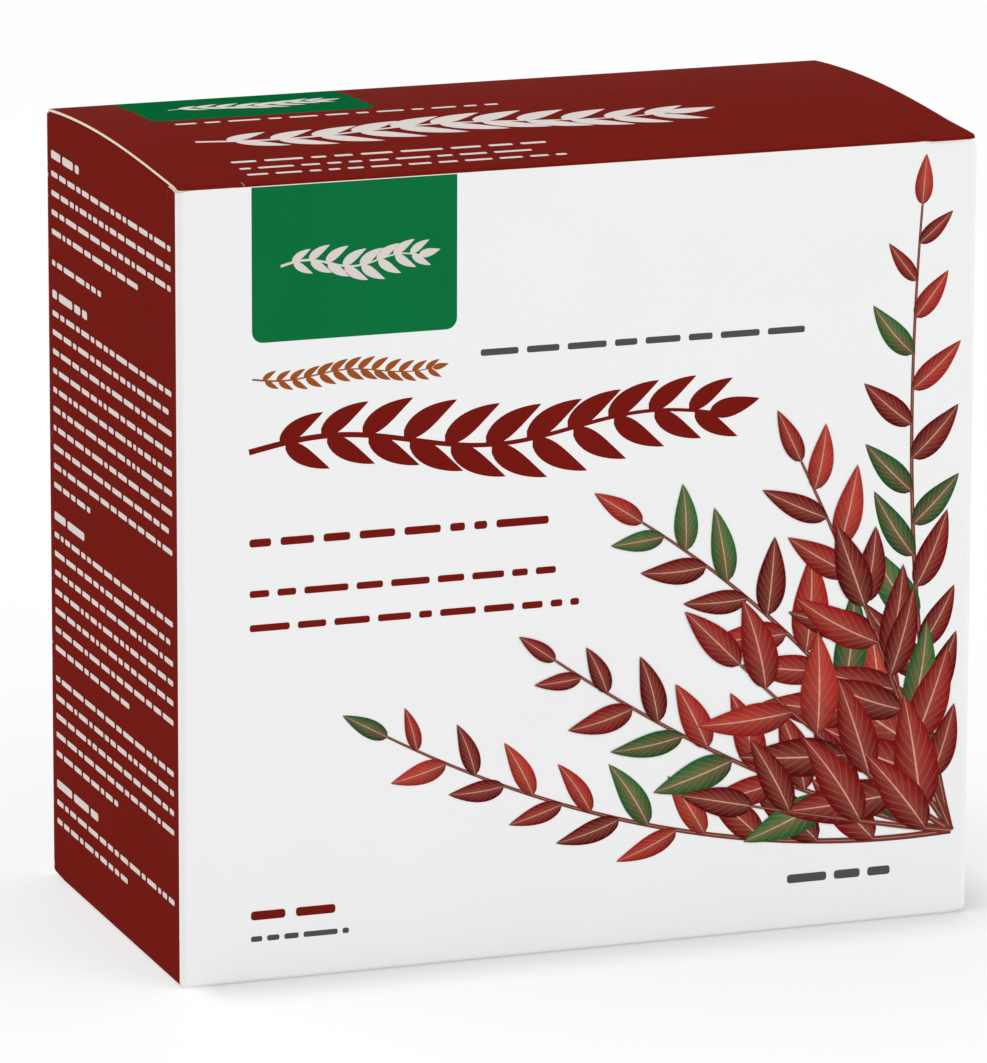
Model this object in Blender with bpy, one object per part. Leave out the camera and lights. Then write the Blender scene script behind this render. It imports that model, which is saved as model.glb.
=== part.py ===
"""Folding carton for drinkable ampoules: a tuck-in lid over fifteen two-pointed glass ampoules
that stand in a slotted divider.

Blender 4.5, metres, +Z up. The origin is the middle of the carton's footprint, on the surface it
stands on. The front panel faces -Y and the lid is hinged on the top edge of the back panel.
"""

import math
import random

import bmesh
import bpy
from mathutils import Euler, Vector

MM = 0.001

# Carton, outside sizes: the height is that of the front panel
WIDTH = 119 * MM
DEPTH = 63 * MM
HEIGHT = 114 * MM
BOARD = 0.5 * MM
CLEARANCE = 0.3 * MM
FOLD_RADIUS = 0.9 * MM
BOTTOM_FOLD_RADIUS = 0.45 * MM
FOLD_STEPS = 4

# Glue flap, folded in from the back panel and stuck to the inside of the right panel
GLUE_FLAP_WIDTH = 14 * MM

# Lid, bowed up by the flaps below it. Two slits at its front leave an end on each side, which
# rides over the top edge of the front panel and locks the lid
LID_SIDE_INSET = 0.55 * MM
LID_RISE = 1.3 * MM
LID_RISE_SKEW = 0.85
LID_CORNER_RADIUS = 0.8 * MM
LID_ROWS = 16
LID_END_LENGTH = 10 * MM
LID_END_LIFT = 0.55 * MM
LID_END_RAMP = 1.5 * MM
LID_END_SETBACK_LEFT = 0.5 * MM
LID_END_OVERHANG_RIGHT = 0.3 * MM
HINGE_GAP = 0.35 * MM

# Tuck flap at the lid's front, which slides down behind the front panel
TUCK_LENGTH = 15 * MM
TUCK_SIDE_INSET = 1.6 * MM
TUCK_CORNER_RADIUS = 7 * MM
TUCK_LEAN = math.radians(12)
TUCK_START = 0.1 * MM
TUCK_START_AT_ENDS = 1.7 * MM
TUCK_CORNER_STEPS = 7

# Dust flaps, folded in from the two side panels under the lid
DUST_LENGTH = 28 * MM
DUST_RISE = 1.0 * MM
DUST_RISE_LENGTH = 4 * MM
DUST_BACK_INSET = 1.6 * MM
DUST_BACK_SLANT = 0.6
DUST_FRONT_INSET = 4.4 * MM
DUST_FRONT_SLANT = 0.05
DUST_CORNER_RADIUS = 3 * MM
DUST_COLUMNS = 12
DUST_ROWS = 8

# Glued bottom: the outer flap is one with the walls and these lie on it
BOTTOM_INNER_FRONT_INSET = 1.6 * MM
BOTTOM_INNER_LENGTH = 54 * MM
BOTTOM_DUST_LENGTH = 30 * MM
BOTTOM_SIDE_INSET = 1.2 * MM

# Divider: two long strips cross four short ones in half-height slots
COLUMNS = 5
ROWS = 3
DIVIDER_BOARD = 1.2 * MM
DIVIDER_HEIGHT = 84 * MM
DIVIDER_END_GAP = 0.4 * MM
SLOT_CLEARANCE = 0.3 * MM

# Two-pointed ampoule
AMPOULE_LENGTH = 106 * MM
AMPOULE_RADIUS = 9.25 * MM
AMPOULE_TIP_RADIUS = 1.3 * MM
AMPOULE_STEM_RADIUS = 1.7 * MM
AMPOULE_STEM = 6.5 * MM
AMPOULE_FLARE = 8.5 * MM
AMPOULE_FLARE_RADIUS = 4.6 * MM
AMPOULE_SHOULDER = 4.5 * MM
AMPOULE_SIDES = 16
AMPOULE_SIDE_GAP = 0.3 * MM
AMPOULE_SEED = 15

INNER_HALF_WIDTH = WIDTH / 2 - BOARD
INNER_HALF_DEPTH = DEPTH / 2 - BOARD
CELL_WIDTH = (2 * INNER_HALF_WIDTH - (COLUMNS - 1) * DIVIDER_BOARD) / COLUMNS
CELL_DEPTH = (2 * INNER_HALF_DEPTH - (ROWS - 1) * DIVIDER_BOARD) / ROWS
COLUMN_PITCH = CELL_WIDTH + DIVIDER_BOARD
ROW_PITCH = CELL_DEPTH + DIVIDER_BOARD
CONTENTS_BASE = 3 * BOARD + 3 * CLEARANCE

# Each flap turns about the middle of its board. The lid's board is level with the front panel's
# top edge and the dust flaps lie below it
LID_HINGE_Y = DEPTH / 2 - BOARD / 2
TUCK_HINGE_Y = -DEPTH / 2 + BOARD + CLEARANCE + BOARD / 2
DUST_HINGE_X = WIDTH / 2 - BOARD / 2
DUST_HINGE_Z = HEIGHT - BOARD - CLEARANCE
LID_SLIT_X = WIDTH / 2 - LID_END_LENGTH


def clear_scene():
    for obj in list(bpy.data.objects):
        bpy.data.objects.remove(obj)


def make_material(name, colour, roughness):
    material = bpy.data.materials.new(name)
    material.use_nodes = True
    shader = material.node_tree.nodes["Principled BSDF"]
    shader.inputs["Base Color"].default_value = (*colour, 1.0)
    shader.inputs["Roughness"].default_value = roughness
    shader.inputs["Metallic"].default_value = 0.0
    return material


def add_object(name, points, faces, material, origin=Vector((0, 0, 0))):
    """A mesh object at origin, whose points are given in the part's frame."""
    mesh = bpy.data.meshes.new(name)
    mesh.from_pydata([Vector(p) - origin for p in points], [], faces)
    shaped = bmesh.new()
    shaped.from_mesh(mesh)
    bmesh.ops.recalc_face_normals(shaped, faces=shaped.faces)
    shaped.to_mesh(mesh)
    shaped.free()
    mesh.materials.append(material)
    obj = bpy.data.objects.new(name, mesh)
    obj.location = origin
    bpy.context.scene.collection.objects.link(obj)
    return obj


def add_sheet(name, lower, upper, material, origin):
    """A sheet of board between two grids of points, closed round its four sides."""
    rows, columns = len(lower), len(lower[0])
    points = [p for grid in (lower, upper) for row in grid for p in row]
    top = rows * columns
    faces = []
    for row in range(rows - 1):
        for column in range(columns - 1):
            here = row * columns + column
            quad = [here, here + 1, here + 1 + columns, here + columns]
            faces.append(quad[::-1])
            faces.append([top + i for i in quad])
    rim = list(range(columns))
    rim += [row * columns + columns - 1 for row in range(1, rows)]
    rim += [(rows - 1) * columns + column for column in range(columns - 2, -1, -1)]
    rim += [row * columns for row in range(rows - 2, 0, -1)]
    for here, after in zip(rim, rim[1:] + rim[:1]):
        faces.append([here, after, top + after, top + here])
    return add_object(name, points, faces, material, origin)


def quarter_turn(steps):
    """Sine and cosine of the angles that part a quarter turn into equal steps."""
    angles = [math.pi / 2 * step / steps for step in range(steps + 1)]
    return [(math.sin(angle), math.cos(angle)) for angle in angles]


def bulge_at(y):
    """The share of the lid's rise at y. It peaks nearer the back crease than the front one."""
    share = (LID_HINGE_Y - y) / (LID_HINGE_Y - TUCK_HINGE_Y)
    return math.sin(math.pi * min(1.0, max(0.0, share)) ** LID_RISE_SKEW)


def wall_outline(inset, radius):
    """Points round the carton's walls: straight panels between rounded folds, from above."""
    half_width = WIDTH / 2 - inset
    half_depth = DEPTH / 2 - inset
    outline = []
    for side_x, side_y, start in ((-1, -1, 180), (1, -1, 270), (1, 1, 0), (-1, 1, 90)):
        centre_x = side_x * (half_width - radius)
        centre_y = side_y * (half_depth - radius)
        for step in range(FOLD_STEPS + 1):
            angle = math.radians(start + 90 * step / FOLD_STEPS)
            x = centre_x + radius * math.cos(angle)
            outline.append((x, centre_y + radius * math.sin(angle)))
        if (side_x, side_y) == (1, -1):
            # Two points mark where the glue flap ends on the inside of the right panel
            flap_end = DEPTH / 2 - GLUE_FLAP_WIDTH
            outline += [(half_width, flap_end - CLEARANCE), (half_width, flap_end)]
    return outline


def wall_tops():
    """Height of the walls' top edge at each point of the outline."""
    front = HEIGHT
    side = DUST_HINGE_Z - BOARD / 2 - CLEARANCE
    back = HEIGHT - BOARD / 2 - CLEARANCE
    to_front = [side + (front - side) * sine for sine, _ in quarter_turn(FOLD_STEPS)]
    to_back = [side] * FOLD_STEPS + [back]
    return to_front + to_front[::-1] + [side, side] + to_back + to_back[::-1]


def carton_walls(material):
    """Four walls, the glue flap and the outer bottom flap: one folded and glued sheet of board."""
    tops = wall_tops()
    outer = wall_outline(0.0, FOLD_RADIUS)
    inner = wall_outline(BOARD, FOLD_RADIUS - BOARD)
    first = 2 * (FOLD_STEPS + 1) + 1
    on_glue_flap = range(first, first + FOLD_STEPS + 2)
    inner = [
        (min(x, INNER_HALF_WIDTH - BOARD), y) if i in on_glue_flap else (x, y)
        for i, (x, y) in enumerate(inner)
    ]
    rings = []
    for sine, cosine in quarter_turn(FOLD_STEPS):
        inset = BOTTOM_FOLD_RADIUS * (1 - sine)
        height = BOTTOM_FOLD_RADIUS * (1 - cosine)
        rings.append([(x, y, height) for x, y in wall_outline(inset, FOLD_RADIUS - inset)])
    rings.append([(x, y, z) for (x, y), z in zip(outer, tops)])
    rings.append([(x, y, z) for (x, y), z in zip(inner, tops)])
    rings.append([(x, y, BOARD) for x, y in inner])
    count = len(outer)
    points = [p for ring in rings for p in ring]
    faces = [list(range(count))[::-1], list(range(len(points) - count, len(points)))]
    for ring in range(len(rings) - 1):
        low, high = ring * count, (ring + 1) * count
        for i in range(count):
            after = (i + 1) % count
            faces.append([low + i, low + after, high + after, high + i])
    return add_object("carton_walls", points, faces, material)


def lid_end_share(x):
    """How far the lid's front is lifted onto the front panel at x: 0 within the slits, then 1."""
    return min(1.0, max(0.0, (abs(x) - LID_SLIT_X) / LID_END_RAMP))


def lid_front_at(x):
    """The lid's front edge at x."""
    half = WIDTH / 2 - LID_SIDE_INSET
    if abs(x) < LID_SLIT_X + LID_END_RAMP:
        return TUCK_HINGE_Y + HINGE_GAP
    reach = LID_END_OVERHANG_RIGHT if x > 0 else -LID_END_SETBACK_LEFT
    into_corner = max(0.0, abs(x) - (half - LID_CORNER_RADIUS))
    rounding = LID_CORNER_RADIUS - math.sqrt(max(0.0, LID_CORNER_RADIUS**2 - into_corner**2))
    return -DEPTH / 2 - reach + rounding


def lid(material):
    """The lid panel, bowed upwards between its back crease and its front crease."""
    half = WIDTH / 2 - LID_SIDE_INSET
    ramp_end = LID_SLIT_X + LID_END_RAMP
    right = [0.0, LID_SLIT_X / 2, LID_SLIT_X, ramp_end - CLEARANCE, ramp_end]
    right += [half - LID_CORNER_RADIUS * (1 - sine) for sine, _ in quarter_turn(FOLD_STEPS)]
    columns = [-x for x in right[:0:-1]] + right
    lower, upper = [], []
    for row in range(LID_ROWS + 1):
        share = row / LID_ROWS
        line = []
        for x in columns:
            y = LID_HINGE_Y + (lid_front_at(x) - LID_HINGE_Y) * share
            lift = LID_RISE * bulge_at(y) + LID_END_LIFT * lid_end_share(x) * share**2
            line.append(Vector((x, y, HEIGHT + lift)))
        lower.append([p - Vector((0, 0, BOARD / 2)) for p in line])
        upper.append([p + Vector((0, 0, BOARD / 2)) for p in line])
    return add_sheet("lid", lower, upper, material, Vector((0, LID_HINGE_Y, HEIGHT)))


def tuck_flap(material):
    """The flap that slides down behind the front panel, leaning in to clear it."""
    down = Vector((0, math.sin(TUCK_LEAN), -math.cos(TUCK_LEAN)))
    outward = Vector((0, -math.cos(TUCK_LEAN), -math.sin(TUCK_LEAN)))
    hinge = Vector((0, TUCK_HINGE_Y, HEIGHT))
    half = WIDTH / 2 - TUCK_SIDE_INSET
    straight = TUCK_LENGTH - TUCK_CORNER_RADIUS
    right = [0.0, LID_SLIT_X - CLEARANCE, LID_SLIT_X, half]
    columns = [-x for x in right[:0:-1]] + right
    outer, inner = [], []
    for row in range(TUCK_CORNER_STEPS + 2):
        past = 0.0
        if row > 1:
            turn = math.pi / 2 * (row - 1) / TUCK_CORNER_STEPS
            past = TUCK_CORNER_RADIUS * math.sin(turn)
        narrowing = TUCK_CORNER_RADIUS - math.sqrt(TUCK_CORNER_RADIUS**2 - past**2)
        line = []
        for x in columns:
            reach = straight + past
            if row == 0:
                reach = TUCK_START if abs(x) < LID_SLIT_X else TUCK_START_AT_ENDS
            line.append(hinge + down * reach + Vector((x * (half - narrowing) / half, 0, 0)))
        outer.append([p + outward * BOARD / 2 for p in line])
        inner.append([p - outward * BOARD / 2 for p in line])
    return add_sheet("tuck_flap", inner, outer, material, hinge)


def dust_flap(name, side, material):
    """A flap folded in from a side panel. It bows up under the lid and its back is slanted."""
    lower, upper = [], []
    for column in range(DUST_COLUMNS + 1):
        reach = DUST_LENGTH * column / DUST_COLUMNS
        into_corner = max(0.0, reach - (DUST_LENGTH - DUST_CORNER_RADIUS))
        rounding = DUST_CORNER_RADIUS - math.sqrt(DUST_CORNER_RADIUS**2 - into_corner**2)
        back = DEPTH / 2 - DUST_BACK_INSET - DUST_BACK_SLANT * reach - rounding
        front = -DEPTH / 2 + DUST_FRONT_INSET + DUST_FRONT_SLANT * reach + rounding
        line = []
        for row in range(DUST_ROWS + 1):
            y = back + (front - back) * row / DUST_ROWS
            rise = DUST_RISE * bulge_at(y) * min(1.0, reach / DUST_RISE_LENGTH)
            line.append(Vector((side * (DUST_HINGE_X - reach), y, DUST_HINGE_Z + rise)))
        lower.append([p - Vector((0, 0, BOARD / 2)) for p in line])
        upper.append([p + Vector((0, 0, BOARD / 2)) for p in line])
    hinge = Vector((side * DUST_HINGE_X, 0, DUST_HINGE_Z))
    return add_sheet(name, lower, upper, material, hinge)


def plate(name, low, high, material):
    """A flat rectangular layer of board between two opposite corners."""
    (x0, y0, z0), (x1, y1, z1) = low, high
    base = [(x0, y0), (x1, y0), (x1, y1), (x0, y1)]
    points = [(x, y, z) for z in (z0, z1) for x, y in base]
    faces = [[3, 2, 1, 0], [4, 5, 6, 7]]
    faces += [[i, (i + 1) % 4, 4 + (i + 1) % 4, 4 + i] for i in range(4)]
    return add_object(name, points, faces, material)


def bottom_flaps(material):
    """The inner layers of the glued bottom, lying on the outer flap."""
    half_width = INNER_HALF_WIDTH - BOTTOM_SIDE_INSET
    front = -INNER_HALF_DEPTH + BOTTOM_INNER_FRONT_INSET
    base = BOARD + CLEARANCE
    low = (-half_width, front, base)
    high = (half_width, front + BOTTOM_INNER_LENGTH, base + BOARD)
    plate("bottom_inner_flap", low, high, material)
    base += BOARD + CLEARANCE
    half_depth = INNER_HALF_DEPTH - BOTTOM_SIDE_INSET
    for name, side in (("bottom_dust_flap_left", -1), ("bottom_dust_flap_right", 1)):
        ends = sorted((side * half_width, side * (half_width - BOTTOM_DUST_LENGTH)))
        low = (ends[0], -half_depth, base)
        plate(name, low, (ends[1], half_depth, base + BOARD), material)


def divider_strip(name, length, crossings, slots_from_top, place, material):
    """A strip on edge with a half-height slot at each strip it crosses. place puts it in plan."""
    half_slot = DIVIDER_BOARD / 2 + SLOT_CLEARANCE
    slot_height = DIVIDER_HEIGHT / 2 + SLOT_CLEARANCE / 2
    outline = [(-length / 2, 0.0)]
    for crossing in crossings:
        before, after = crossing - half_slot, crossing + half_slot
        outline += [(before, 0.0), (before, slot_height), (after, slot_height), (after, 0.0)]
    outline += [(length / 2, 0.0), (length / 2, DIVIDER_HEIGHT), (-length / 2, DIVIDER_HEIGHT)]
    if slots_from_top:
        outline = [(along, DIVIDER_HEIGHT - height) for along, height in outline]
    points = [
        (*place(along, across), CONTENTS_BASE + height)
        for across in (-DIVIDER_BOARD / 2, DIVIDER_BOARD / 2)
        for along, height in outline
    ]
    count = len(outline)
    faces = [list(range(count)), list(range(count, 2 * count))[::-1]]
    for i in range(count):
        after = (i + 1) % count
        faces.append([i, after, count + after, count + i])
    return add_object(name, points, faces, material)


def divider(material):
    """The strips that part the carton's inside into a cell for each ampoule."""
    column_lines = [(i - (COLUMNS - 2) / 2) * COLUMN_PITCH for i in range(COLUMNS - 1)]
    row_lines = [(i - (ROWS - 2) / 2) * ROW_PITCH for i in range(ROWS - 1)]
    length = 2 * (INNER_HALF_WIDTH - BOARD - DIVIDER_END_GAP)
    for number, y in enumerate(row_lines, start=1):
        name = f"divider_long_{number}"
        divider_strip(name, length, column_lines, True, lambda a, b: (a, y + b), material)
    length = 2 * (INNER_HALF_DEPTH - DIVIDER_END_GAP)
    for number, x in enumerate(column_lines, start=1):
        name = f"divider_short_{number}"
        divider_strip(name, length, row_lines, False, lambda a, b: (x + b, a), material)


def ampoule_profile():
    """Radius and height from the lower point of an ampoule to its upper one."""
    lower_end = [
        (AMPOULE_TIP_RADIUS * sine, AMPOULE_TIP_RADIUS * (1 - cosine))
        for sine, cosine in quarter_turn(2)
    ]
    lower_end.append((AMPOULE_STEM_RADIUS, AMPOULE_STEM))
    for share in (1 / 3, 2 / 3, 1.0):
        widening = (AMPOULE_FLARE_RADIUS - AMPOULE_STEM_RADIUS) * share**2
        lower_end.append((AMPOULE_STEM_RADIUS + widening, AMPOULE_STEM + AMPOULE_FLARE * share))
    shoulder_end = AMPOULE_STEM + AMPOULE_FLARE + AMPOULE_SHOULDER
    for sine, cosine in quarter_turn(3)[1:]:
        widening = (AMPOULE_RADIUS - AMPOULE_FLARE_RADIUS) * sine
        lower_end.append((AMPOULE_FLARE_RADIUS + widening, shoulder_end - AMPOULE_SHOULDER * cosine))
    return lower_end + [(radius, AMPOULE_LENGTH - height) for radius, height in lower_end[::-1]]


def ampoule_mesh(material):
    """One body of revolution that stands on its lower point at the origin."""
    rings = ampoule_profile()[1:-1]
    points = [(0.0, 0.0, 0.0)]
    for radius, height in rings:
        for side in range(AMPOULE_SIDES):
            angle = 2 * math.pi * side / AMPOULE_SIDES
            points.append((radius * math.cos(angle), radius * math.sin(angle), height))
    points.append((0.0, 0.0, AMPOULE_LENGTH))
    last = 1 + (len(rings) - 1) * AMPOULE_SIDES
    faces = []
    for side in range(AMPOULE_SIDES):
        after = (side + 1) % AMPOULE_SIDES
        faces.append([0, 1 + after, 1 + side])
        for ring in range(len(rings) - 1):
            low, high = 1 + ring * AMPOULE_SIDES, 1 + (ring + 1) * AMPOULE_SIDES
            faces.append([low + side, low + after, high + after, high + side])
        faces.append([last + side, last + after, len(points) - 1])
    mesh = bpy.data.meshes.new("ampoule")
    mesh.from_pydata(points, [], faces)
    mesh.materials.append(material)
    mesh.shade_smooth()
    return mesh


def ampoules(material):
    """An ampoule in each cell, leaning lightly as loose ones do."""
    mesh = ampoule_mesh(material)
    draw = random.Random(AMPOULE_SEED)
    room_x = CELL_WIDTH / 2 - AMPOULE_RADIUS - AMPOULE_SIDE_GAP - BOARD
    room_y = CELL_DEPTH / 2 - AMPOULE_RADIUS - AMPOULE_SIDE_GAP
    body_top = AMPOULE_LENGTH - AMPOULE_STEM - AMPOULE_FLARE
    for number in range(ROWS * COLUMNS):
        row, column = divmod(number, COLUMNS)
        lean_x = math.atan(room_x * draw.uniform(-1, 1) / body_top)
        lean_y = math.atan(room_y * draw.uniform(-1, 1) / body_top)
        obj = bpy.data.objects.new(f"ampoule_{number + 1:02d}", mesh)
        x = (column - (COLUMNS - 1) / 2) * COLUMN_PITCH
        y = (row - (ROWS - 1) / 2) * ROW_PITCH
        obj.location = (x, y, CONTENTS_BASE)
        obj.rotation_euler = Euler((-lean_y, lean_x, 0.0))
        bpy.context.scene.collection.objects.link(obj)


def main():
    clear_scene()
    dark_red = make_material("printed_dark_red", (0.165, 0.014, 0.009), 0.45)
    white = make_material("printed_white", (0.84, 0.84, 0.83), 0.45)
    raw_board = make_material("raw_board", (0.72, 0.62, 0.48), 0.85)
    divider_board = make_material("divider_board", (0.55, 0.42, 0.28), 0.9)
    amber_glass = make_material("amber_glass", (0.20, 0.05, 0.015), 0.08)
    carton_walls(white)
    lid(dark_red)
    tuck_flap(dark_red)
    dust_flap("dust_flap_left", -1, dark_red)
    dust_flap("dust_flap_right", 1, dark_red)
    bottom_flaps(raw_board)
    divider(divider_board)
    ampoules(amber_glass)


main()
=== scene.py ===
"""Looks of the folding carton: printed board, bowed lid with its creases and flaps, a generic print,
and inside it a fluted divider with fifteen amber glass ampoules. Metres, in the CAD frame."""

import math
import random

import bmesh
import bpy
from mathutils import Euler, Matrix, Vector


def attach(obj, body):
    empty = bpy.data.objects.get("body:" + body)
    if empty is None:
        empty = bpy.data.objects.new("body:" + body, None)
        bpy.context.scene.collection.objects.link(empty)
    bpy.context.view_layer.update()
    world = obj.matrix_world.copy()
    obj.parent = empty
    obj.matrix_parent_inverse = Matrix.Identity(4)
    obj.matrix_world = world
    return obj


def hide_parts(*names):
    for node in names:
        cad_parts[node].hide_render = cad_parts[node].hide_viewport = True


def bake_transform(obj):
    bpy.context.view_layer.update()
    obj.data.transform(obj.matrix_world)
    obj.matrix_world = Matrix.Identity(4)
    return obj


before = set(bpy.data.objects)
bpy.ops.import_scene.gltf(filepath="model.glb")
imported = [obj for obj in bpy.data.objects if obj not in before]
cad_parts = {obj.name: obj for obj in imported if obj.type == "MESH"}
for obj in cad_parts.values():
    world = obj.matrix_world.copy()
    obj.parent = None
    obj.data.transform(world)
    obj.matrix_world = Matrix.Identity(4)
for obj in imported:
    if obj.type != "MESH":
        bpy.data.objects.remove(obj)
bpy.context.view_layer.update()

MM = 0.001
WIDTH, DEPTH, HEIGHT = 119 * MM, 63 * MM, 114 * MM
HALF_W, HALF_D = WIDTH / 2, DEPTH / 2
BOARD = 0.4 * MM
FOLD = 1.0 * MM
FOLD_STEPS = 6
WALL_DEPTH = 10 * MM
BOTTOM_FOLD = 0.6 * MM
SOFT_CORNER = 0.45 * MM

# The right panel's cut back edge, over the fold of the glue flap
SEAM_FOLD = 0.6 * MM
SEAM_Y = HALF_D - 0.45 * MM

# Lid and tuck flap
HINGE_Y = 31.25 * MM
TUCK_Y = -30.45 * MM
LID_OUTER = HEIGHT + 0.25 * MM
LID_HALF = 59.15 * MM
LID_RISE = 1.3 * MM
LID_SKEW = 0.85
LID_BACK_Y = 29.8 * MM
LID_CREASE_Y = -28.9 * MM
BACK_FOLD = 0.6 * MM
SLIT_X = 49.5 * MM
SHOULDER_DIP = 0.25 * MM
SLIT_DIP = 0.15 * MM
SHOULDER_Y = -31.0 * MM
LEFT_CORNER = (2.5 * MM, 0.5 * MM)
RIGHT_CORNER = (1.0 * MM, 1.0 * MM)
LIP_LIFT = 0.24 * MM
LIP_Y = -31.2 * MM
LIP_BELLY = 0.22 * MM
LIP_RADIUS = 0.5 * MM
LIP_TURN = math.radians(80)
TUCK_LEAN = math.radians(12)
TUCK_LENGTH = 15 * MM
TUCK_HALF = 57.9 * MM
TUCK_CORNER = 7 * MM

# Dust flaps, drawn a little higher than the solids so that the lid lies on them
DUST_TOP = 113.79 * MM
DUST_BOW = 1.28 * MM
DUST_X = 59.25 * MM
DUST_FOLD = 0.45 * MM
DUST_START = 1.3 * MM
DUST_LENGTH = 28 * MM
DUST_BACK = 30.4 * MM
DUST_FRONT = -27.1 * MM
DUST_CORNER = 3 * MM

# The walls' top edges: under a crease, beside one, and at the front panel's ends
CREASE_FOOT = 112.2 * MM
SIDE_TOP_BACK = 113.8 * MM
NOTCH_TOP = 112.75 * MM
FRONT_TOP_LEFT = 113.9 * MM
FRONT_TOP_RIGHT = 113.87 * MM
STEP_GAP = 0.03 * MM

# Divider and ampoules, as in the solids
COLUMNS, ROWS = 5, 3
DIVIDER_BOARD = 1.2 * MM
DIVIDER_HEIGHT = 84 * MM
CONTENTS_BASE = 2.4 * MM
INNER_W, INNER_D = 118 * MM, 62 * MM
CELL_W = (INNER_W - (COLUMNS - 1) * DIVIDER_BOARD) / COLUMNS
CELL_D = (INNER_D - (ROWS - 1) * DIVIDER_BOARD) / ROWS
COLUMN_PITCH, ROW_PITCH = CELL_W + DIVIDER_BOARD, CELL_D + DIVIDER_BOARD

AMPOULE_LENGTH = 106 * MM
AMPOULE_RADIUS = 9.25 * MM


# Node helpers

class Shader:
    """A small builder for a procedural material."""

    def __init__(self, name, **sockets):
        self.material = bpy.data.materials.new(name)
        self.material.use_nodes = True
        self.tree = self.material.node_tree
        self.surface = self.tree.nodes["Principled BSDF"]
        for key, value in sockets.items():
            self.surface.inputs[key.replace("_", " ")].default_value = value
        self.coords = self.node("ShaderNodeTexCoord").outputs["Object"]

    def node(self, kind, **settings):
        node = self.tree.nodes.new(kind)
        for key, value in settings.items():
            setattr(node, key, value)
        return node

    def link(self, source, target):
        self.tree.links.new(source, target)

    def scaled(self, scale):
        """Object coordinates, in units of 1 / scale metres along each axis."""
        node = self.node("ShaderNodeMapping")
        node.inputs["Scale"].default_value = scale
        self.link(self.coords, node.inputs["Vector"])
        return node.outputs["Vector"]

    def noise(self, scale, detail=3.0, roughness=0.5, stretch=(1, 1, 1)):
        node = self.node("ShaderNodeTexNoise")
        node.inputs["Scale"].default_value = scale
        node.inputs["Detail"].default_value = detail
        node.inputs["Roughness"].default_value = roughness
        self.link(self.scaled(stretch), node.inputs["Vector"])
        return node.outputs["Fac"]

    def attribute(self, name, output="Fac"):
        return self.node("ShaderNodeAttribute", attribute_name=name).outputs[output]

    def math(self, operation, a, b=0.0, c=0.0):
        node = self.node("ShaderNodeMath", operation=operation)
        for socket, value in zip(node.inputs, (a, b, c)):
            if isinstance(value, (int, float)):
                socket.default_value = value
            else:
                self.link(value, socket)
        return node.outputs[0]

    def ranged(self, value, low, high, to_low=0.0, to_high=1.0):
        node = self.node("ShaderNodeMapRange")
        node.clamp = True
        self.link(value, node.inputs["Value"])
        for key, number in (("From Min", low), ("From Max", high), ("To Min", to_low), ("To Max", to_high)):
            node.inputs[key].default_value = number
        return node.outputs["Result"]

    def mix(self, share, a, b, blend="MIX"):
        node = self.node("ShaderNodeMix", data_type="RGBA", blend_type=blend)
        for socket, value in ((node.inputs[0], share), (node.inputs[6], a), (node.inputs[7], b)):
            if isinstance(value, tuple):
                socket.default_value = (*value, 1.0)
            elif isinstance(value, (int, float)):
                socket.default_value = value
            else:
                self.link(value, socket)
        return node.outputs[2]

    def bump(self, height, distance, strength=1.0):
        node = self.node("ShaderNodeBump")
        node.inputs["Distance"].default_value = distance
        node.inputs["Strength"].default_value = strength
        self.link(height, node.inputs["Height"])
        self.link(node.outputs["Normal"], self.surface.inputs["Normal"])

    def colour(self, value):
        self.link(value, self.surface.inputs["Base Color"])

    def roughness(self, value):
        self.link(value, self.surface.inputs["Roughness"])


def coated(name, colour, worn, roughness=0.5, mottle=0.03, specular=0.06):
    """Offset print on varnished board: mottled ink, fine fibre relief, and wear at the folds."""
    s = Shader(name, Specular_IOR_Level=specular)
    broad = s.noise(60.0, 3.0)
    fine = s.noise(2600.0, 3.0, 0.6)
    fibre = s.noise(900.0, 4.0, 0.6, (1.0, 1.0, 0.45))
    dark = tuple(c * (1.0 - mottle) for c in colour)
    light = tuple(min(1.0, c * (1.0 + mottle)) for c in colour)
    ink = s.mix(s.ranged(s.math("ADD", s.math("MULTIPLY", broad, 0.65), s.math("MULTIPLY", fine, 0.35)), 0.36, 0.64), dark, light)
    wear = s.attribute("wear")
    flecks = s.noise(1500.0, 4.0, 0.65, (1.0, 1.0, 0.5))
    worn_share = s.ranged(s.math("ADD", s.math("MULTIPLY", wear, 0.42), flecks), 1.02, 1.12)
    s.colour(s.mix(worn_share, ink, worn))
    s.roughness(s.ranged(s.math("ADD", s.math("MULTIPLY", fibre, 0.7), s.math("MULTIPLY", broad, 0.3)), 0.3, 0.7, roughness - 0.06, roughness + 0.08))
    relief = s.math("ADD", s.math("MULTIPLY", fibre, 0.6), s.math("MULTIPLY", fine, 0.4))
    s.bump(relief, 0.012 * MM)
    return s.material


def fibrous(name, dark, light, roughness=0.85, distance=0.03 * MM, stretch=(1, 1, 1)):
    """Uncoated pulp board: fibres and specks."""
    s = Shader(name, Specular_IOR_Level=0.1)
    fibre = s.noise(1400.0, 5.0, 0.7, stretch)
    cloud = s.noise(120.0, 3.0)
    share = s.math("ADD", s.math("MULTIPLY", fibre, 0.8), s.math("MULTIPLY", cloud, 0.2))
    base = s.mix(s.ranged(share, 0.35, 0.65), dark, light)
    specks = s.ranged(s.noise(2200.0, 2.0, 0.5), 0.70, 0.76)
    s.colour(s.mix(s.math("MULTIPLY", specks, 0.35), base, tuple(c * 0.45 for c in dark)))
    s.roughness(s.ranged(fibre, 0.3, 0.7, roughness - 0.05, roughness + 0.1))
    s.bump(fibre, distance)
    return s.material


WHITE = (0.815, 0.817, 0.817)
RED = (0.158, 0.0085, 0.0050)
CREAM = (0.80, 0.70, 0.58)
SHEEN = 0.002

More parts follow.
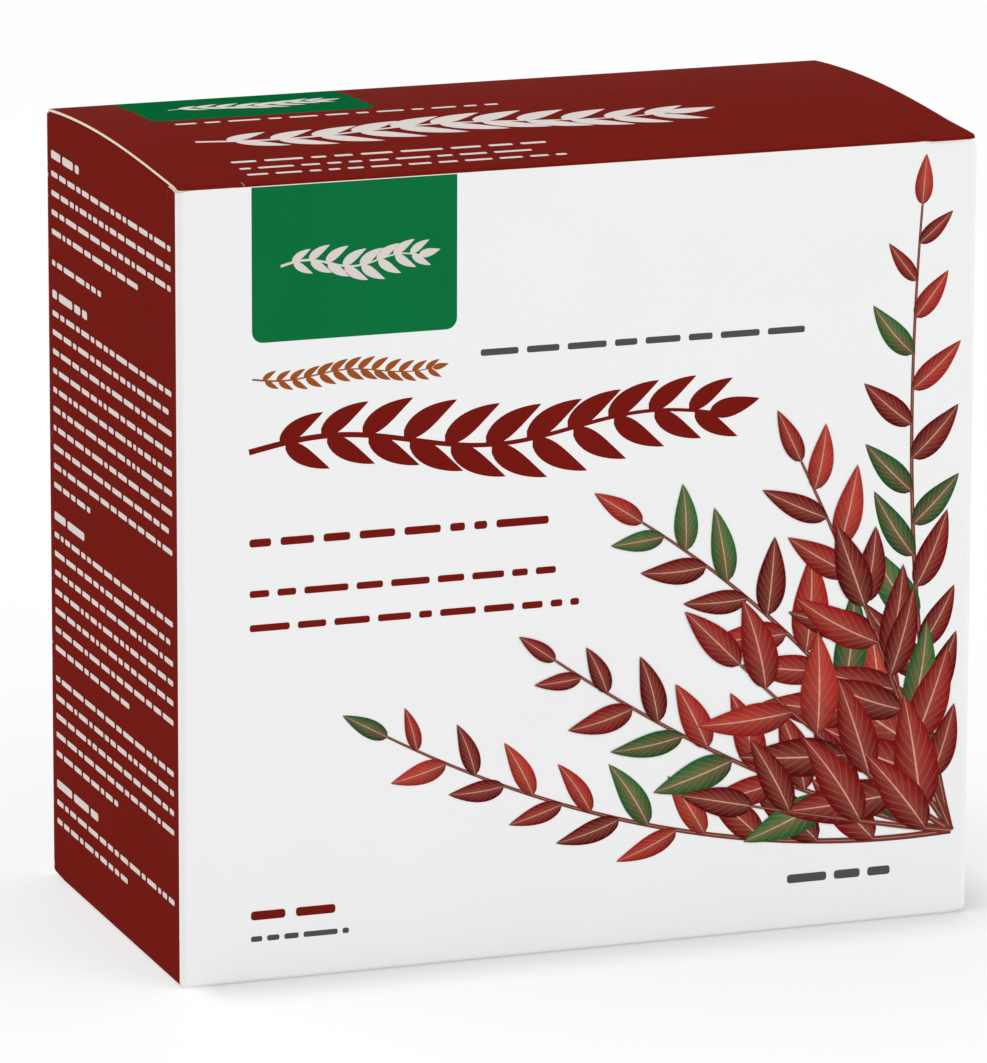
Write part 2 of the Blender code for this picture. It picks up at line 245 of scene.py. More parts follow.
M = {
    "white": coated("print_white", WHITE, (0.78, 0.775, 0.76), 0.5, 0.006),
    "red": coated("print_red", RED, CREAM, 0.55, 0.05, SHEEN),
    "green": coated("print_green", (0.0045, 0.150, 0.044), CREAM, 0.5, 0.04, SHEEN),
    # Painted shade: the lid's tab uses a darker copy of the green ink, without sheen, so that it reads darker than the
    # green on the front panel.
    "lid_green_painted_shade": coated("print_lid_green", (0.002, 0.112, 0.031), CREAM, 0.6, 0.04, 0.0),
    "edge": fibrous("board_edge", (0.70, 0.60, 0.48), (0.84, 0.76, 0.65), 0.8, 0.02 * MM),
    "inside": fibrous("board_inside", (0.67, 0.625, 0.545), (0.77, 0.725, 0.645), 0.85, 0.02 * MM),
    "raw": fibrous("board_raw", (0.60, 0.53, 0.43), (0.74, 0.67, 0.56), 0.88, 0.03 * MM),
    "kraft": fibrous("divider_kraft", (0.36, 0.235, 0.13), (0.50, 0.35, 0.21), 0.9, 0.05 * MM, (1.0, 1.0, 0.35)),
    "ink_red": coated("ink_red", (0.165, 0.0095, 0.0065), WHITE, 0.5, 0.05, SHEEN),
    "ink_grey": coated("ink_grey", (0.075, 0.073, 0.072), WHITE, 0.5, 0.05, SHEEN),
    "ink_white": coated("ink_white", (0.66, 0.60, 0.57), RED, 0.5, 0.02, SHEEN),
    "ink_amber": coated("ink_amber", (0.30, 0.075, 0.017), WHITE, 0.5, 0.12, SHEEN),
}


# Mesh helpers

def make(name, points, faces, materials, face_slots, body, wear=None, smooth_angle=35.0, recalc=True):
    """A finished piece from points and faces, riding on a body."""
    mesh = bpy.data.meshes.new(name)
    mesh.from_pydata([tuple(p) for p in points], [], faces)
    for material in materials:
        mesh.materials.append(M[material])
    mesh.polygons.foreach_set("material_index", face_slots)
    if recalc:
        shaped = bmesh.new()
        shaped.from_mesh(mesh)
        bmesh.ops.recalc_face_normals(shaped, faces=shaped.faces)
        shaped.to_mesh(mesh)
        shaped.free()
    if wear is not None:
        layer = mesh.attributes.new("wear", "FLOAT", "POINT")
        layer.data.foreach_set("value", wear)
    mesh.shade_smooth()
    mesh.set_sharp_from_angle(angle=math.radians(smooth_angle))
    piece = bpy.data.objects.new(name, mesh)
    bpy.context.scene.collection.objects.link(piece)
    if body:
        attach(piece, body)
    return piece


def smooth(t):
    t = min(1.0, max(0.0, t))
    return t * t * (3 - 2 * t)


def spread(low, high, count):
    return [low + (high - low) * i / count for i in range(count + 1)]


def sheet(name, outer, inner, materials, colour_of, body, slot, wear_of=None):
    """A board between two grids of points. materials are outer ones, then the inside and the edge."""
    rows, columns = len(outer), len(outer[0])
    points = [p for grid in (outer, inner) for row in grid for p in row]
    under = rows * columns
    faces, slots = [], []
    for r in range(rows - 1):
        for c in range(columns - 1):
            here = r * columns + c
            quad = [here, here + 1, here + 1 + columns, here + columns]
            middle = (points[quad[0]] + points[quad[2]]) / 2
            faces.append(quad)
            slots.append(materials.index(colour_of(middle, r, c)))
            faces.append([under + i for i in quad][::-1])
            slots.append(materials.index("inside"))
    rim = list(range(columns)) + [r * columns + columns - 1 for r in range(1, rows)]
    rim += [(rows - 1) * columns + c for c in range(columns - 2, -1, -1)]
    rim += [r * columns for r in range(rows - 2, 0, -1)]
    for here, after in zip(rim, rim[1:] + rim[:1]):
        faces.append([here, after, under + after, under + here])
        slots.append(materials.index("edge"))
    wear = [wear_of(p) if wear_of else 0.0 for p in points]
    return make(name, points, faces, materials, slots, body, wear)


# The carton's sleeve

def sleeve_columns():
    """Stations round the walls: outer point, inward normal, deepest inset, top, colour, wear."""
    inner_w, inner_d = HALF_W - FOLD, HALF_D - FOLD
    stations = []

    def wall(p, normal, top, colour, edge):
        stations.append((p, normal, WALL_DEPTH, top, colour, 1.0 - smooth(edge / (1.6 * MM))))

    def along(xs, y, normal, top_of):
        for x in xs:
            wall(Vector((x, y)), normal, top_of(x), "white", inner_w - abs(x))

    def corner(cx, cy, start, from_top, to_top, radius=FOLD):
        for step in (0.05, 1, 2, 3, 4, 5, 5.95):
            angle = math.radians(start + 90 * step / FOLD_STEPS)
            way = Vector((math.cos(angle), math.sin(angle)))
            p = Vector((cx, cy)) + way * radius
            top = from_top + (to_top - from_top) * step / FOLD_STEPS
            stations.append((p, -way, radius - 0.05 * MM, top, "white", 1.0))

    def front_top(x):
        """The top edge falls a little at both ends."""
        left = (HEIGHT - FRONT_TOP_LEFT) * (1 - smooth((x + inner_w) / (1.2 * MM)))
        right = (HEIGHT - FRONT_TOP_RIGHT) * max(0.0, 1 - (inner_w - x) / (0.8 * MM)) ** 2
        return HEIGHT - left - right

    def side_top(x, y):
        """In front of the crease the left wall follows the lid, and the right one has a notch."""
        if DUST_FRONT - STEP_GAP / 2 < y < DUST_BACK + STEP_GAP / 2:
            return CREASE_FOOT
        if y > 0:
            return SIDE_TOP_BACK
        if x < 0:
            return lid_height(-LID_HALF, y) - BOARD - 0.03 * MM
        return NOTCH_TOP + (DUST_TOP - NOTCH_TOP) * smooth((y + 29.3 * MM) / (2.2 * MM))

    def side(x, normal, low, high):
        """A side wall, whose top edge steps down where the dust flap's crease begins and ends."""
        ys = spread(low, DUST_FRONT - STEP_GAP, 7) + spread(DUST_FRONT, DUST_BACK, 12)
        ys += [DUST_BACK + STEP_GAP, high]
        for y in ys if x > 0 else ys[::-1]:
            wall(Vector((x, y)), normal, side_top(x, y), "red", min(y - low, high - y))

    ends = [inner_w, inner_w - 0.4 * MM, inner_w - 0.8 * MM, inner_w - 2.2 * MM]
    xs = [-x for x in ends] + spread(-54 * MM, 54 * MM, 20) + ends[::-1]
    along(xs, -HALF_D, Vector((0, 1)), front_top)
    corner(inner_w, -inner_d, 270, FRONT_TOP_RIGHT, NOTCH_TOP)
    side(HALF_W, Vector((-1, 0)), -inner_d, SEAM_Y)
    corner(HALF_W - BOARD - SEAM_FOLD, HALF_D - SEAM_FOLD, 0, SIDE_TOP_BACK, SIDE_TOP_BACK, SEAM_FOLD)
    along(xs[::-1], HALF_D, Vector((0, -1)), lambda x: CREASE_FOOT)
    corner(-inner_w, inner_d, 90, SIDE_TOP_BACK, SIDE_TOP_BACK)
    side(-HALF_W, Vector((1, 0)), -inner_d, inner_d)
    corner(-inner_w, -inner_d, 180, side_top(-HALF_W, -inner_d), FRONT_TOP_LEFT)
    return stations


def sleeve_profile(base, top, fold):
    """(inset, height) round the board of a wall, from its bottom fold up and down again inside, and
    how many of its faces are printed, and how many come before the inside."""
    bevel = 0.05 * MM if top > CREASE_FOOT else 0.002 * MM
    small = fold - BOARD
    turn = spread(0, math.pi / 2, 5)
    line = [(1.7 * MM, base)]
    line += [(fold * (1 - math.sin(a)), base + fold * (1 - math.cos(a))) for a in turn]
    line += [(0.0, base + fold + 1.2 * MM)]
    line += [(0.0, z) for z in spread(base + 8 * MM, top - 6 * MM, 4) + [top - 1.2 * MM, top - bevel]]
    printed = len(line)
    line += [(bevel, top), (BOARD - bevel, top), (BOARD, top - bevel)]
    capped = len(line) - 1
    line += [(BOARD, z) for z in [top - 1.2 * MM] + spread(top - 6 * MM, base + 8 * MM, 2)]
    line += [(BOARD + small * (1 - math.sin(a)), base + BOARD + small * (1 - math.cos(a))) for a in turn[::-1]]
    line.append((1.7 * MM, base + BOARD))
    return line, printed, capped


def sleeve():
    """Four walls with rounded folds; at the bottom each wall turns in over a small fold."""
    stations = sleeve_columns()
    points, wears = [], []
    for p, normal, limit, top, colour, wear in stations:
        base = 0.0 if p.y > HALF_D - 0.2 * MM else 0.15 * MM
        soft = SOFT_CORNER * wear if p.x * p.y < 0 else 0.0
        profile, outer_end, top_end = sleeve_profile(base, top, BOTTOM_FOLD + soft)
        size = len(profile)
        for inset, z in profile:
            q = p + normal * min(inset, limit)
            points.append(Vector((q.x, q.y, z)))
            bottom_wear = 0.86 * (1.0 - smooth((z - 0.6 * MM) / (1.4 * MM)))
            wears.append(max(wear, bottom_wear) if inset < BOARD / 2 else 0.0)
    materials = ["white", "red", "inside", "edge"]
    faces, slots = [], []
    count = len(stations)
    seam = next(i for i, s in enumerate(stations) if s[0].x > HALF_W - 0.01 * MM and s[0].y > SEAM_Y - 0.01 * MM)
    for c in range(count):
        after = (c + 1) % count
        colour = "red" if stations[c][4] == stations[after][4] == "red" else "white"
        for i in range(size):
            j = (i + 1) % size
            faces.append([c * size + i, after * size + i, after * size + j, c * size + j])
            outside = "edge" if c == seam else colour
            kind = outside if i < outer_end else "edge" if i < top_end else "inside"
            slots.append(materials.index(kind))
    piece = make("carton_sleeve", points, faces, materials, slots, "carton", wears)
    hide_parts("carton_walls")


def outer_bottom_flap():
    """The glued flap that the carton stands on, cut short of the folds on three sides."""
    left, right = -HALF_W + 1.0 * MM, HALF_W - 1.0 * MM
    front, back = -HALF_D + 0.9 * MM, HALF_D - 1.7 * MM
    corner = 2.0 * MM
    xs = [left + corner * (1 - math.cos(math.pi / 2 * i / 5)) for i in range(6)]
    xs += spread(left + corner, right - corner, 8)[1:-1]
    xs += [right - corner * (1 - math.cos(math.pi / 2 * i / 5)) for i in range(5, -1, -1)]
    lower, upper = [], []
    for share in spread(0, 1, 6):
        row = []
        for x in xs:
            past = max(0.0, abs(x) - (right - corner))
            start = front + corner - math.sqrt(max(0.0, corner**2 - past**2))
            row.append(Vector((x, start + (back - start) * share, 0.0)))
        lower.append(row)
        upper.append([p + Vector((0, 0, BOARD)) for p in row])
    sheet("bottom_outer_flap", lower, upper, ["white", "inside", "edge"], lambda p, r, c: "white", "carton", "printed_white")


def glue_flap():
    """The strip stuck to the inside of the right panel, with slanted ends."""
    outer, inner = [], []
    x = HALF_W - BOARD - 0.03 * MM
    for y in spread(HALF_D - FOLD, HALF_D - 14 * MM, 6):
        slant = 4 * MM * smooth((HALF_D - FOLD - y) / (13 * MM))
        low, high = 2.0 * MM + slant, 111.5 * MM - slant
        outer.append([Vector((x, y, z)) for z in spread(low, high, 8)])
        inner.append([Vector((x - BOARD, y, z)) for z in spread(low, high, 8)])
    sheet("glue_flap", outer, inner, ["inside", "edge"], lambda p, r, c: "inside", "carton", "printed_white")


# The lid, the tuck flap and the dust flaps

def bulge_at(y):
    share = (HINGE_Y - y) / (HINGE_Y - TUCK_Y)
    return math.sin(math.pi * min(1.0, max(0.0, share)) ** LID_SKEW)


def lip_share(x):
    """The lip begins beside the right slit and is whole a little further on."""
    return smooth((x - SLIT_X - 0.5 * MM) / (2.5 * MM))


def lid_height(x, y):
    """The lid's printed surface. Its ends beside the slits dip behind the front panel."""
    lip = lip_share(x)
    height = LID_OUTER + LID_RISE * bulge_at(y) + LIP_LIFT * lip * smooth((-20 * MM - y) / (10 * MM))
    if abs(x) > SLIT_X:
        dip = SHOULDER_DIP * (1 - lip) + SLIT_DIP * (1 - smooth((abs(x) - SLIT_X) / (1.5 * MM)))
        height -= dip * smooth((LID_CREASE_Y - y) / (LID_CREASE_Y - SHOULDER_Y))
    return height


def lid_front(x):
    """The y of the lid's front edge, or of the start of its front crease between the slits."""
    if abs(x) <= SLIT_X:
        return LID_CREASE_Y
    belly = LIP_BELLY * math.sin(math.pi * min(1.0, max(0.0, (x - SLIT_X) / (LID_HALF - SLIT_X))))
    edge = SHOULDER_Y + (LIP_Y - belly - SHOULDER_Y) * lip_share(x)
    wide, deep = RIGHT_CORNER if x > 0 else LEFT_CORNER
    past = min(1.0, max(0.0, (abs(x) - LID_HALF + wide) / wide))
    return edge + deep * (1 - math.sqrt(1 - past**2))


def lid_point(x, share, depth):
    """A place on the lid from its back crease to its front edge, at a depth in the board. The right
    end has a lip that turns down over the front panel's edge."""
    length = LID_BACK_Y - lid_front(x)
    way = share * (length + LIP_RADIUS * LIP_TURN * lip_share(x))
    turn = max(0.0, way - length) / LIP_RADIUS
    y = LID_BACK_Y - min(way, length)
    return Vector((
        x,
        y - (LIP_RADIUS - depth) * math.sin(turn),
        lid_height(x, y) - LIP_RADIUS + (LIP_RADIUS - depth) * math.cos(turn),
    ))


def lid_columns():
    def end(corner):
        xs = [SLIT_X + 0.02 * MM] + spread(SLIT_X + 0.25 * MM, SLIT_X + 3 * MM, 11)
        xs += spread(SLIT_X + 3 * MM, LID_HALF - corner, 4)[1:]
        return xs + [LID_HALF - corner * (1 - math.sin(math.pi / 2 * i / 7)) for i in range(1, 8)]

    left = [-x for x in end(LEFT_CORNER[0])[::-1]]
    return left + spread(-SLIT_X, SLIT_X, 20) + end(RIGHT_CORNER[0])


def edge_wear(distance, width=0.9 * MM):
    return 1.0 - smooth(distance / width)


def lid_panel():
    shares = spread(0, 0.94, 27) + spread(0.94, 0.98, 6)[1:] + spread(0.98, 1, 10)[1:]
    outer, inner = ([[lid_point(x, share, depth) for x in lid_columns()] for share in shares] for depth in (0.0, BOARD))
    materials = ["red", "inside", "edge"]

    def wear(p):
        return 0.8 * max(edge_wear(LID_HALF - abs(p.x)), edge_wear(p.y - lid_front(p.x)) if abs(p.x) > SLIT_X else 0.0)

    piece = sheet("lid_panel", outer, inner, materials, lambda p, r, c: "red", "lid", "printed_dark_red", wear)
    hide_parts("lid")


def crease(name, section_at, half_at, materials, colour_of, slot, wear_of=None):
    """A strip of board round a fold along x. section_at gives its line across the fold
    at a depth in the board, and half_at its half length at each row."""
    outer, inner = (
        [[Vector((x, y, z)) for x in spread(-half_at(i), half_at(i), 24)] for i, (y, z) in enumerate(section_at(depth))]
        for depth in (0.0, BOARD)
    )
    piece = sheet(name, outer, inner, materials, colour_of, None, slot, wear_of)
    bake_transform(piece)
    return piece


def arc(cx, cz, radius, start, end, count=6):
    return [
        (cx + radius * math.cos(math.radians(a)), cz + radius * math.sin(math.radians(a)))
        for a in spread(start, end, count)
    ]


# The back crease's arc jumps from its row at 30 degrees to the next one at 60, so that it has one line across it where
# a bend can fall.
BACK_CREASE_START = (0, HINGE_Y + 0.028 * MM, HEIGHT - 0.028 * MM)
BACK_CREASE_END = (0, HINGE_Y - 0.028 * MM, HEIGHT + 0.028 * MM)
BACK_WALL_ROWS = 4
BACK_PRINT_ROW = 6
BACK_LID_ROW = 8


def back_section(cut):
    """The fold from the back wall to the lid, at a depth in the board."""
    cy, cz = HALF_D - BACK_FOLD, LID_OUTER - BACK_FOLD
    line = [(HALF_D - cut, z) for z in spread(CREASE_FOOT, cz, BACK_WALL_ROWS)]
    line += arc(cy, cz, BACK_FOLD - cut, 0, 30, 3)[1:]
    line += arc(cy, cz, BACK_FOLD - cut, 60, 90, 3)
    return line + [(y, lid_height(0, y) - cut) for y in spread(cy, LID_BACK_Y, 4)[1:]]


def front_section(cut):
    """The fold from the lid to the tuck flap."""
    lean_out = Vector((-math.cos(TUCK_LEAN), -math.sin(TUCK_LEAN)))
    down = Vector((math.sin(TUCK_LEAN), -math.cos(TUCK_LEAN)))
    hinge = Vector((TUCK_Y, HEIGHT))
    fold = 0.62 * MM
    line = [(y, lid_height(0, y) - cut) for y in spread(LID_CREASE_Y, -29.9 * MM, 3)]
    line += arc(-30.05 * MM, LID_OUTER - fold, fold - cut, 95, 180 + math.degrees(TUCK_LEAN))
    for reach in spread(0.9 * MM, 1.6 * MM, 2):
        q = hinge + down * reach + lean_out * (0.25 * MM - cut)
        line.append((q.x, q.y))
    return line


def back_half(row):
    """The back crease is as long as the wall below, and as the lid above."""
    share = smooth((row - BACK_WALL_ROWS) / (BACK_LID_ROW - BACK_WALL_ROWS))
    return HALF_W - FOLD + (LID_HALF - HALF_W + FOLD) * share


def fold_wear(distance):
    """Wear round a fold, from the distance to its middle."""
    return 1.0 - smooth((distance - 0.35 * MM) / (0.6 * MM))


def lid_creases():
    crease(
        "lid_back_crease", back_section, back_half, ["white", "red", "inside", "edge"],
        lambda p, r, c: "red" if r >= BACK_PRINT_ROW else "white",
        "printed_dark_red",
        lambda p: 0.75 * fold_wear(math.hypot(p.y - HINGE_Y, p.z - HEIGHT)),
    )
    crease(
        "lid_front_crease", front_section, lambda row: SLIT_X,
        ["red", "inside", "edge"], lambda p, r, c: "red",
        "printed_dark_red", lambda p: 0.45,
    )


def tuck_flap():
    """The flap behind the front panel: its print bleeds over the crease and then stops."""
    down = Vector((0, math.sin(TUCK_LEAN), -math.cos(TUCK_LEAN)))
    out = Vector((0, -math.cos(TUCK_LEAN), -math.sin(TUCK_LEAN)))
    hinge = Vector((0, TUCK_Y, HEIGHT))
    straight = TUCK_LENGTH - TUCK_CORNER
    right = spread(0, SLIT_X, 8) + [SLIT_X + 0.25 * MM] + spread(SLIT_X + 0.25 * MM, TUCK_HALF, 4)[1:]
    xs = [-x for x in right[:0:-1]] + right
    reaches = [None] + spread(2.4 * MM, straight, 4)
    reaches += [straight + TUCK_CORNER * math.sin(math.pi / 2 * i / 12) for i in range(1, 13)]
    outer, inner = [], []
    for reach in reaches:
        past = max(0.0, (reach or 0.0) - straight)
        narrowing = TUCK_CORNER - math.sqrt(max(0.0, TUCK_CORNER**2 - past**2))
        row = []
        for x in xs:
            start = 1.6 * MM if abs(x) <= SLIT_X else 1.75 * MM
            value = start if reach is None else reach
            curl = 0.25 * MM * smooth(value / TUCK_LENGTH) ** 2
            row.append(hinge + down * value - out * curl + Vector((x * (TUCK_HALF - narrowing) / TUCK_HALF, 0, 0)))
        outer.append([p + out * 0.25 * MM for p in row])
        inner.append([p + out * (0.25 * MM - BOARD) for p in row])
    limit = HEIGHT - 5 * MM
    piece = sheet(
        "tuck_flap_board", outer, inner, ["red", "white", "inside", "edge"],
        lambda p, r, c: "red" if p.z > limit else "white", "tuck_flap", "printed_dark_red",
    )
    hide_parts("tuck_flap")


def dust_rise(y):
    """How far a dust flap and its crease follow the lid's bow."""
    return DUST_BOW * bulge_at(y)


def dust_edges(reach):
    """Back and front edge of a dust flap at a distance from its crease."""
    past = max(0.0, reach - (DUST_LENGTH - DUST_CORNER))
    rounding = DUST_CORNER - math.sqrt(max(0.0, DUST_CORNER**2 - past**2))
    back = DUST_BACK - 0.6 * reach - rounding
    front = DUST_FRONT + 0.05 * reach + rounding
    return back, front


def dust_flaps():
    for name, side in (("left", -1), ("right", 1)):
        reaches = spread(DUST_START, DUST_LENGTH - DUST_CORNER, 12)
        reaches += [DUST_LENGTH - DUST_CORNER * (1 - math.sin(math.pi / 2 * i / 7)) for i in range(1, 8)]
        outer, inner = [], []
        for reach in reaches:
            back, front = dust_edges(reach)
            row = [
                Vector((side * (DUST_X - reach), y, DUST_TOP + dust_rise(y)))
                for y in spread(back, front, 18)
            ]
            outer.append(row)
            inner.append([p - Vector((0, 0, BOARD)) for p in row])
        bleed = DUST_X - 7 * MM
        piece = sheet(
            f"dust_flap_{name}_board", outer, inner, ["red", "white", "inside", "edge"],
            lambda p, r, c: "red" if abs(p.x) > bleed else "white", f"dust_flap_{name}", "printed_dark_red",
        )
        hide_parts(f"dust_flap_{name}")
        dust_crease(name, side)


def dust_crease(name, side):
    """The fold from a side wall to its dust flap, following the flap's bow."""
    high, centre = DUST_TOP - DUST_FOLD, HALF_W - DUST_FOLD
    grids = []
    for cut in (0.0, BOARD):
        line = [(HALF_W - cut, z) for z in spread(CREASE_FOOT, high, 8)]
        line += arc(centre, high, DUST_FOLD - cut, 0, 90)[1:]
        line += [(x, DUST_TOP - cut) for x in spread(centre, DUST_X - DUST_START, 3)[1:]]
        grid = []
        for x, z in line:
            back, front = dust_edges(max(0.0, DUST_X - x))
            lift = min(1.0, (z - CREASE_FOOT) / (high - CREASE_FOOT))
            grid.append([Vector((side * x, y, z + lift * dust_rise(y))) for y in spread(back, front, 18)])
        grids.append(grid)

    def wear(p):
        return 0.5 * fold_wear(math.hypot(abs(p.x) - DUST_X, p.z - DUST_TOP - dust_rise(p.y) + 0.25 * MM))

    piece = sheet(
        f"dust_flap_{name}_crease", *grids, ["red", "inside", "edge"], lambda p, r, c: "red",
        None, "printed_dark_red", wear,
    )
    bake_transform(piece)


# Inside: divider and ampoules

def fluted_strip(name, node, length, crossings, slots_from_top, place):
    """Two liners with a wave of board between them, cut with half-height slots."""
    half_slot = DIVIDER_BOARD / 2 + 0.3 * MM
    slot_height = DIVIDER_HEIGHT / 2 + 0.15 * MM
    stops = [-length / 2]
    for crossing in crossings:
        stops += [crossing - half_slot, crossing + half_slot]
    stops.append(length / 2)
    points, faces = [], []

    def wall(line, low, high, thickness):
        """A thin upright board along a line of (along, across) points."""
        first = len(points)
        for along, across in line:
            for offset in (-thickness / 2, thickness / 2):
                for z in (low, high):
                    points.append(Vector((*place(along, across + offset), CONTENTS_BASE + z)))
        for i in range(len(line) - 1):
            a, b = first + 4 * i, first + 4 * (i + 1)
            faces.extend([[a, b, b + 1, a + 1], [a + 2, a + 3, b + 3, b + 2], [a + 1, b + 1, b + 3, a + 3], [a, a + 2, b + 2, b]])
        last = first + 4 * (len(line) - 1)
        faces.extend([[first, first + 1, first + 3, first + 2], [last, last + 2, last + 3, last + 1]])

    for number, (start, end) in enumerate(zip(stops, stops[1:])):
        low, high = 0.0, DIVIDER_HEIGHT
        if number % 2:
            if slots_from_top:
                high = DIVIDER_HEIGHT - slot_height
            else:
                low = slot_height
        for across in (-0.49 * MM, 0.49 * MM):
            wall([(start, across), (end, across)], low, high, 0.2 * MM)
        count = max(2, int((end - start) / (0.25 * MM)))
        wave = [(s, 0.32 * MM * math.sin(2 * math.pi * s / (2.5 * MM))) for s in spread(start, end, count)]
        wall(wave, low, high - 0.05 * MM, 0.13 * MM)
    piece = make(name, points, faces, ["kraft"], [0] * len(faces), "carton", None, 40.0)
    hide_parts(node)


def divider():
    column_lines = [(i - (COLUMNS - 2) / 2) * COLUMN_PITCH for i in range(COLUMNS - 1)]
    row_lines = [(i - (ROWS - 2) / 2) * ROW_PITCH for i in range(ROWS - 1)]
    for number, y in enumerate(row_lines, start=1):
        fluted_strip(
            f"divider_long_{number}_board", f"divider_long_{number}", 116.2 * MM, column_lines, True,
            lambda a, b, y=y: (a, y + b),
        )
    for number, x in enumerate(column_lines, start=1):
        fluted_strip(
            f"divider_short_{number}_board", f"divider_short_{number}", 61.2 * MM, row_lines, False,
            lambda a, b, x=x: (x + b, a),
        )


def glass_materials():
    glass = Shader("amber_glass", Base_Color=(0.56, 0.20, 0.035, 1.0), Roughness=0.03, IOR=1.5)
    glass.surface.inputs["Transmission Weight"].default_value = 1.0
    glass.bump(glass.noise(90.0, 2.0, 0.5, (1, 1, 0.3)), 0.02 * MM)
    M["glass"] = glass.material
    liquid = Shader("ampoule_liquid", Base_Color=(0.36, 0.05, 0.02, 1.0), Roughness=0.0, IOR=1.34, Transmission_Weight=0.9)
    liquid.colour(liquid.mix(liquid.ranged(liquid.noise(120.0, 2.0), 0.3, 0.7), (0.33, 0.045, 0.018), (0.40, 0.06, 0.024)))
    M["liquid"] = liquid.material
    ring = Shader("score_ring", Base_Color=(0.80, 0.78, 0.74, 1.0), Roughness=0.4)
    ring.roughness(ring.ranged(ring.noise(800.0), 0.3, 0.7, 0.3, 0.5))
    M["ring"] = ring.material


def smooth_profile(keys, steps):
    """A Catmull-Rom line through (radius, height) keys."""
    line = []
    padded = [keys[0]] + keys + [keys[-1]]
    for a, b, c, d in zip(padded, padded[1:], padded[2:], padded[3:]):
        for i in range(steps):
            t = i / steps
            line.append(tuple(
                0.5 * (2 * q + (r - p) * t + (2 * p - 5 * q + 4 * r - s) * t**2 + (3 * q - p - 3 * r + s) * t**3)
                for p, q, r, s in zip(a, b, c, d)
            ))
    line.append(keys[-1])
    return line


def turned(profile, sides, points, faces, slots, slot):
    """Adds a body of revolution, closed at its poles."""
    rings = profile[1:-1]
    first = len(points)
    points.append(Vector((0, 0, profile[0][1])))
    for radius, height in rings:
        for side in range(sides):
            a = 2 * math.pi * side / sides
            points.append(Vector((radius * math.cos(a), radius * math.sin(a), height)))
    points.append(Vector((0, 0, profile[-1][1])))
    last = len(points) - 1
    for side in range(sides):
        after = (side + 1) % sides
        faces.append([first, first + 1 + after, first + 1 + side])
        for ring in range(len(rings) - 1):
            low, high = first + 1 + ring * sides, first + 1 + (ring + 1) * sides
            faces.append([low + side, low + after, high + after, high + side])
        top = first + 1 + (len(rings) - 1) * sides
        faces.append([top + side, top + after, last])
        slots.extend([slot] * (len(rings) + 1))


def ampoule_end(wall):
    """(radius, height) keys of the ampoule's lower end, at a depth in its glass."""
    keys = [(0.0, 0.0), (0.75, 0.22), (1.2, 0.9), (1.45, 2.2), (1.62, 4.4), (1.8, 6.6), (2.4, 9.4), (3.4, 12.3), (4.7, 14.9), (6.9, 17.2), (8.6, 19.0), (9.2, 21.0), (9.25, 24.0)]
    if not wall:
        return [(r * MM, z * MM) for r, z in keys]
    keys = [(0.0, 2.4), (0.35, 2.7), (0.75, 3.6), (1.1, 5.4), (1.3, 7.0), (1.85, 9.7), (2.85, 12.6), (4.15, 15.3), (6.35, 17.7), (8.0, 19.5), (8.62, 21.4), (8.68, 24.0)]
    return [(r * MM, z * MM) for r, z in keys]


def both_ends(end):
    return end + [(r, AMPOULE_LENGTH - z) for r, z in end[::-1]]


def ampoule_mesh():
    points, faces, slots = [], [], []
    outer = smooth_profile(both_ends(ampoule_end(False)), 2)
    inner = smooth_profile(both_ends(ampoule_end(True)), 2)
    sides = 32
    turned(outer, sides, points, faces, slots, 0)
    inner_start = len(faces)
    turned(inner, sides, points, faces, slots, 0)
    for i in range(inner_start, len(faces)):
        faces[i] = faces[i][::-1]
    level = 79 * MM
    liquid = [(max(0.0, r - 0.03 * MM), z + (0.03 * MM if z < level else 0.0)) for r, z in inner if z < level]
    liquid = [(0.0, liquid[0][1])] + liquid[1:]
    radius = liquid[-1][0]
    liquid += [(radius, level + 0.5 * MM), (radius - 0.5 * MM, level + 0.12 * MM), (radius - 1.4 * MM, level), (0.0, level)]
    turned(liquid, sides, points, faces, slots, 1)
    for z in (8.2 * MM, AMPOULE_LENGTH - 8.2 * MM):
        band = [(0.0, z - 0.35 * MM), (2.12 * MM, z - 0.35 * MM), (2.16 * MM, z), (2.12 * MM, z + 0.35 * MM), (0.0, z + 0.35 * MM)]
        band_rings = [(r, h) for r, h in band]
        start = len(points)
        for r, h in band_rings[1:4]:
            for side in range(sides):
                a = 2 * math.pi * side / sides
                points.append(Vector((r * math.cos(a), r * math.sin(a), h)))
        for ring in range(2):
            for side in range(sides):
                after = (side + 1) % sides
                low, high = start + ring * sides, start + (ring + 1) * sides
                faces.append([low + side, low + after, high + after, high + side])
                slots.append(2)
    mesh = bpy.data.meshes.new("ampoule_glass")
    mesh.from_pydata([tuple(p) for p in points], [], faces)
    for material in ("glass", "liquid", "ring"):
        mesh.materials.append(M[material])
    mesh.polygons.foreach_set("material_index", slots)
    mesh.shade_smooth()
    return mesh


def ampoules():
    glass_materials()
    mesh = ampoule_mesh()
    draw = random.Random(15)
    room_x = CELL_W / 2 - AMPOULE_RADIUS - 0.8 * MM
    room_y = CELL_D / 2 - AMPOULE_RADIUS - 0.3 * MM
    body_top = AMPOULE_LENGTH - 15 * MM
    for number in range(ROWS * COLUMNS):
        row, column = divmod(number, COLUMNS)
        lean_x = math.atan(room_x * draw.uniform(-1, 1) / body_top)
        lean_y = math.atan(room_y * draw.uniform(-1, 1) / body_top)
        node = f"ampoule_{number + 1:02d}"
        piece = bpy.data.objects.new(f"{node}_glass", mesh)
        place = Vector(((column - 2) * COLUMN_PITCH, (row - 1) * ROW_PITCH, CONTENTS_BASE))
        piece.matrix_world = Matrix.Translation(place) @ Euler((-lean_y, lean_x, 0.0)).to_matrix().to_4x4()
        bpy.context.scene.collection.objects.link(piece)
        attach(piece, "carton")
        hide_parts(node)


# Print

LAYER = 0.0015 * MM


